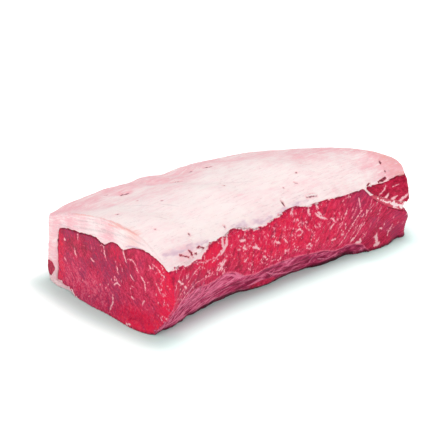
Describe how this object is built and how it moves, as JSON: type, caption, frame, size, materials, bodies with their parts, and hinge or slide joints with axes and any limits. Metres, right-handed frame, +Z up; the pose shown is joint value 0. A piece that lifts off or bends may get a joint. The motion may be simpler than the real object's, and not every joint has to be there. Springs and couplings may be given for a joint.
{
  "type": "raw beef sirloin joint",
  "caption": "Whole raw sirloin joint of beef under a thick cap of fat, with cut lean showing at both ends and along one side.",
  "frame": {"origin": "on the board, under the middle of the joint's box", "axes": "+X along the joint from the near cut face to the far one, +Y from the trimmed front side to the fat-covered back, +Z up"},
  "size_m": [0.3154, 0.1682, 0.0825],
  "materials": {
    "fat": "moist cream-pink fat with fine streaks along the joint",
    "lean": "moist crimson cut muscle with white marbling",
    "dark_lean": "moist dark crimson muscle"
  },
  "bodies": {
    "root": {"fat_cap": "fat", "lean_eye": "lean", "end_muscle": "dark_lean", "side_muscle": "dark_lean"}
  },
  "joints": []
}
